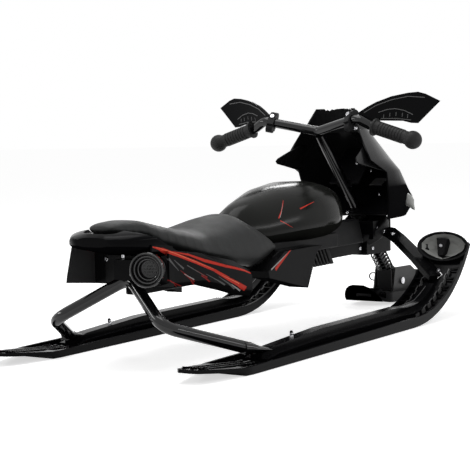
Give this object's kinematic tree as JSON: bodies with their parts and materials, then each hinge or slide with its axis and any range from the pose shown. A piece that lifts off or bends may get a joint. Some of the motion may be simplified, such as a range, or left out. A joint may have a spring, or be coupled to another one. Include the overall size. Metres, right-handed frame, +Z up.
{
  "type": "steering sled",
  "caption": "Child's motorcycle-style snow sled: padded seat on side runners, with a handlebar that steers a sprung front ski.",
  "frame": {"origin": "middle of the sled's length and width, on the floor under the flat soles of the runners", "axes": "+X forward to the front ski, +Y left, +Z up"},
  "size_m": [1.3446, 0.598, 0.514],
  "materials": {
    "runner_plastic": "moulded black, satin",
    "frame_steel": "gloss black powder coat",
    "body_plastic": "gloss black",
    "matte_plastic": "grained black",
    "panel_plastic": "black with red and silver stripes",
    "seat_cover": "matte black imitation leather over foam",
    "grip_rubber": "grained black",
    "bright_steel": "bright zinc",
    "grey_plastic": "dark grey moulded",
    "spring_steel": "black coated wire"
  },
  "bodies": {
    "sled": {"ski_left": "runner_plastic", "ski_right": "runner_plastic", "toe_cup_left": "matte_plastic", "toe_cup_right": "matte_plastic", "rear_arch": "frame_steel", "backbone": "frame_steel", "steering_head": "frame_steel", "rear_bracket": "frame_steel", "floor_tray": "matte_plastic", "tail_fender": "body_plastic", "seat_pad": "seat_cover", "tank": "body_plastic", "side_panel_left": "panel_plastic", "side_panel_right": "panel_plastic", "leg_shield_left": "panel_plastic", "leg_shield_right": "panel_plastic", "ribbed_block": "matte_plastic", "front_arm_left": "matte_plastic", "front_arm_right": "matte_plastic", "tail_wall": "matte_plastic", "exhaust": "matte_plastic"},
    "steering": {"column": "frame_steel", "upper_collar": "frame_steel", "coil_spring": "spring_steel", "ski_bracket": "grey_plastic", "pivot_bolt": "bright_steel", "front_ski": "runner_plastic", "lock_pin": "bright_steel", "handlebar": "frame_steel", "grip_left": "grip_rubber", "grip_right": "grip_rubber", "bar_clamp_left": "matte_plastic", "bar_clamp_right": "matte_plastic", "hand_guard_left": "matte_plastic", "hand_guard_right": "matte_plastic", "cowl": "body_plastic", "windshield": "matte_plastic", "cowl_bracket": "matte_plastic"}
  },
  "joints": [
    {"name": "steering_turn", "type": "hinge", "parent": "sled", "child": "steering", "pos_m": [0.5225, 0, 0.048], "axis": [-0.66, 0, 0.7513], "range_deg": [-25, 25]}
  ]
}
